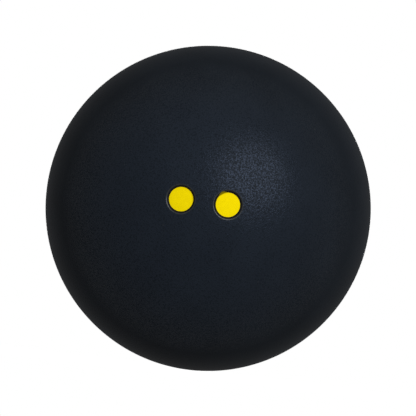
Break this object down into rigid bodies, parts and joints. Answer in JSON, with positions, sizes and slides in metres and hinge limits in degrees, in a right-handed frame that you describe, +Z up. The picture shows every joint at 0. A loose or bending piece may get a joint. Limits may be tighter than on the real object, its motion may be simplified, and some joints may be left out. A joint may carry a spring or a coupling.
{
  "type": "squash ball",
  "caption": "Hollow matt black rubber ball for squash, bonded from moulded half shells, with round yellow speed marks sunk into its surface.",
  "frame": {"origin": "centre of the ball", "axes": "+Z up. The halves are moulded along Y, so the seam lies in the XZ plane. The dots face -Y, side by side along X."},
  "size_m": [0.04, 0.04, 0.04],
  "materials": {
    "rubber": "matte",
    "cement": "matte",
    "ink": "matte"
  },
  "bodies": {
    "root": {"front_half_shell": "rubber", "rear_half_shell": "rubber", "seam_bond": "cement", "left_dot": "ink", "right_dot": "ink"}
  },
  "joints": []
}
